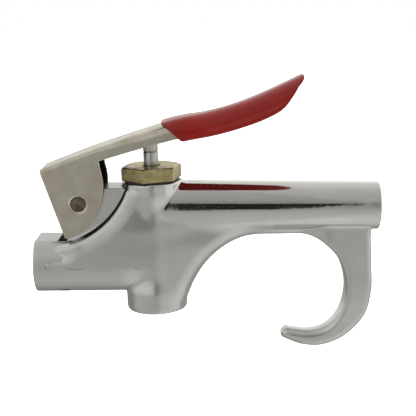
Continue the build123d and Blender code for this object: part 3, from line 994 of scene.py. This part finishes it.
# the stem's tail, its seal groove, its rod with a shallow ring, and its dome
groove_radius = STEM_RADIUS - 0.85
ring_radius = STEM_RADIUS - 0.12
stem_profile = [(0.0, 4.6), (1.4, 4.6), (1.4, 22.6), (STEM_RADIUS, 22.6), (STEM_RADIUS, 23.8)]
stem_profile += [(groove_radius, 23.8), (groove_radius, 25.5), (STEM_RADIUS, 25.5), (STEM_RADIUS, 34.9)]
stem_profile += [(ring_radius, 35.05), (ring_radius, 35.3), (STEM_RADIUS, 35.45)]
stem_profile += [(STEM_RADIUS, STEM_HIGH - STEM_DOME)]
dome = (STEM_RADIUS**2 + STEM_DOME**2) / (2 * STEM_DOME)
dome_start = math.degrees(math.asin((dome - STEM_DOME) / dome))
stem_profile += arc((0.0, STEM_HIGH - dome), dome, dome_start, 90, 8)[1:-1]
stem_profile += [(0.0, STEM_HIGH)]
stem = lathe("valve_stem_rod", rounded(stem_profile, 0.12, 3), on_valve)
fitted(stem, "zinc_steel", "stem", "valve_stem")
stem_ring = lathe("stem_seal", torus_profile(1.93, 24.65, 0.43), on_valve)
fitted(stem_ring, "black_rubber", "stem", "stem_o_ring")

disc_profile = [(1.4, DISC_TOP - 2.0), (4.1, DISC_TOP - 2.0), (4.1, DISC_TOP), (1.4, DISC_TOP)]
disc = lathe("seal_disc", rounded(disc_profile, 0.25), on_valve)
fitted(disc, "black_rubber", "stem", "valve_disc")
cup_profile = [(1.4, CUP_LOW), (4.5, CUP_LOW), (4.5, CUP_LOW + 2.4)]
cup_profile += [(4.1, CUP_LOW + 2.4), (4.1, CUP_LOW + 1.3), (1.4, CUP_LOW + 1.3)]
cup = lathe("seal_cup", rounded(cup_profile, 0.2), on_valve)
fitted(cup, "brass", "stem", "disc_cup")


def lock_nut_field(x, y, z):
    """A small hexagon nut under the cup, with both its ends chamfered."""
    width = np.hypot(x, y)
    flats = width - 5.0
    for step in range(6):
        turn = math.radians(60 * step)
        flats = smooth_max(flats, x * math.cos(turn) + y * math.sin(turn) - 2.75, 0.2)
    ends = np.abs(z - (CUP_LOW - NUT_HALF)) - NUT_HALF
    nut = smooth_max(smooth_max(flats, ends, 0.15), (width - 2.85) * 0.5 + ends * 0.866, 0.15)
    return smooth_max(nut, 1.4 - width, 0.15)


nut_low, nut_high = (-3.3, -3.3, CUP_LOW - 2 * NUT_HALF), (3.3, 3.3, CUP_LOW)
lock_nut = field_piece("lock_nut", lock_nut_field, nut_low, nut_high, 0.2, on_valve)
fitted(lock_nut, "brass", "stem", "disc_lock_nut")

spring = coil("return_spring", SPRING_LOW, CUP_LOW - 0.05, 3.7, 0.4, 6)
fitted(spring, "spring_steel", "body", "valve_spring")
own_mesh(spring)


# ---------------------------------------------------------------- camera, light and floor

AIM = np.array([54.1, 0.0, 16.99])
DISTANCE = 280.0
ELEVATION = math.radians(12.5)
toward = np.array([0.0, -math.cos(ELEVATION), math.sin(ELEVATION)])
camera_data = bpy.data.cameras.new("camera")
camera_data.lens = 76.9
camera_data.sensor_width = 36.0
camera_data.clip_start = 0.01
camera_data.clip_end = 50.0
camera = bpy.data.objects.new("camera", camera_data)
camera.location = ((AIM + DISTANCE * toward) * MM).tolist()
camera.rotation_euler = (math.radians(90) - ELEVATION, 0.0, 0.0)
scene.collection.objects.link(camera)
scene.camera = camera

# how bright the room looks in the plating, by the angle about X: 0 in front, 90 above, 180 behind
PLATING = 0.6
ROOM = [(-180, 0.5), (-160, 0.2), (-120, 0.18), (-105, 0.25), (-90, 0.35), (-60, 0.38), (-30, 0.34)]
ROOM += [(-15, 0.305), (5, 0.25), (20, 0.24), (35, 0.32), (85, 0.4), (105, 0.5), (140, 0.57), (165, 0.56)]
ROOM += [(180, 0.5)]


def room_colour(tree, around):
    """The room's brightness by the angle about X."""
    ramp_node = tree.tree.nodes.new("ShaderNodeValToRGB")
    tree.tree.links.new(tree.fit(around, -180.0, 180.0, 0.0, 1.0), ramp_node.inputs[0])
    stops = ramp_node.color_ramp.elements
    while len(stops) > 1:
        stops.remove(stops[-1])
    for number, (angle, level) in enumerate(ROOM):
        place = (angle + 180) / 360
        stop = stops[0] if number == 0 else stops.new(place)
        stop.position = place
        value = level / PLATING
        stop.color = (value * 1.01, value, value * 0.965, 1.0)
    return ramp_node.outputs[0]


def studio():
    """A soft room, brightest behind and above, with a dark opening in front where the camera stands."""
    world = bpy.data.worlds.new("studio")
    world.use_nodes = True
    scene.world = world
    tree = Tree(world.node_tree)
    x, y, z = split(tree, tree.add("TexCoord", out="Generated"))
    front = tree.product(y, -1.0)
    room = room_colour(tree, tree.calc("DEGREES", tree.calc("ARCTAN2", z, front)))
    turn = tree.calc("DEGREES", tree.calc("ARCTAN2", x, front))
    flat = tree.calc("SQRT", tree.calc("ADD", tree.product(x, x), tree.product(y, y)))
    rise = tree.calc("DEGREES", tree.calc("ARCTAN2", z, flat))

    # the dark opening: its low edge climbs to the right
    low_edge = tree.calc("ADD", tree.fit(turn, 0.0, 1.5, -14.0, -9.5), tree.fit(turn, 5.5, 10.6, 0.0, 23.0))
    above = tree.calc("SUBTRACT", rise, low_edge)
    left_edge = tree.calc("ADD", turn, tree.fit(rise, -16.0, 4.0, -1.6, 0.4))
    within = tree.product(tree.mask(left_edge, -2.6, -3.4), tree.mask(turn, 10.5, 11.5))
    dark = tree.product(tree.mask(above, 1.0, -1.0), tree.mask(rise, 16.0, 18.5), within)

    # a window to the left and a lamp strip to the right
    window = tree.product(tree.mask(turn, -13.0, -8.0), tree.mask(rise, -6.0, -14.0))
    window = tree.product(window, tree.mask(rise, 30.0, 50.0))
    strip = tree.product(tree.mask(turn, 62.0, 50.0), tree.mask(turn, 88.0, 100.0))
    strip = tree.product(strip, tree.mask(tree.offset(rise, 8.0), 16.0, 26.0))

    # the room's uneven light: the table in front, the wall at right and left, and the opening's soft shadow
    shades = [
        (tree.fit(turn, -9.0, 9.0, -0.1, 0.06), tree.mask(rise, -14.0, -5.0)),
        (tree.fit(turn, 10.5, 16.0, 0.0, 0.24), tree.mask(rise, 30.0, 45.0)),
        (tree.fit(turn, -3.0, -5.0, 0.0, 0.1), tree.mask(rise, 0.0, -12.0)),
        (tree.fit(above, -12.0, 0.0, 0.0, -0.16), within),
    ]
    level = 1.0
    for change, where in shades:
        level = tree.calc("ADD", level, tree.product(change, where))
    room = tree.blend(tree.product(window, 0.7), room, rgb(0.9, 0.9, 0.87))
    room = tree.blend(tree.product(strip, 0.35), room, rgb(1.2, 1.2, 1.18))
    room = tree.add("VectorMath", {0: room, "Scale": level}, operation="SCALE")
    shade = tree.blend(dark, room, rgb(0.02, 0.02, 0.02))

    lit = tree.add("Background", {"Color": shade, "Strength": 1.0})
    plain = tree.add("Background", {"Color": rgb(1.0, 1.0, 1.0), "Strength": 1.0})
    seen = tree.add("LightPath", out="Is Camera Ray")
    both = tree.add("MixShader", {0: seen, 1: lit, 2: plain})
    world.node_tree.links.new(both, world.node_tree.nodes["World Output"].inputs[0])


def studio_floor():
    """A plain white sheet under the hook, lit from below like a light table."""
    made, tree, shader, place = material("floor")
    fibre = tree.noise(place, 900.0, 3.0)
    colour = tree.blend(fibre, rgb(0.9, 0.9, 0.89), rgb(0.94, 0.94, 0.93))
    set_shader(tree, shader, Base_Color=colour, Roughness=0.9)
    set_shader(tree, shader, Emission_Color=rgb(1.0, 1.0, 1.0), Emission_Strength=1.0)
    half = 4000.0
    level = millimetres(cad_bounds[0])[2] - 0.3
    corners = np.array([(half * x, half * y, level) for x, y in ((-1, -1), (1, -1), (1, 1), (-1, 1))])
    floor = mesh_object("floor", corners, [(0, 1, 2, 3)])
    floor.data.materials.append(made)
    floor.visible_glossy = False
    floor.visible_diffuse = False
    floor.visible_shadow = False


studio()
studio_floor()
scene.view_settings.view_transform = "Standard"
scene.view_settings.look = "None"
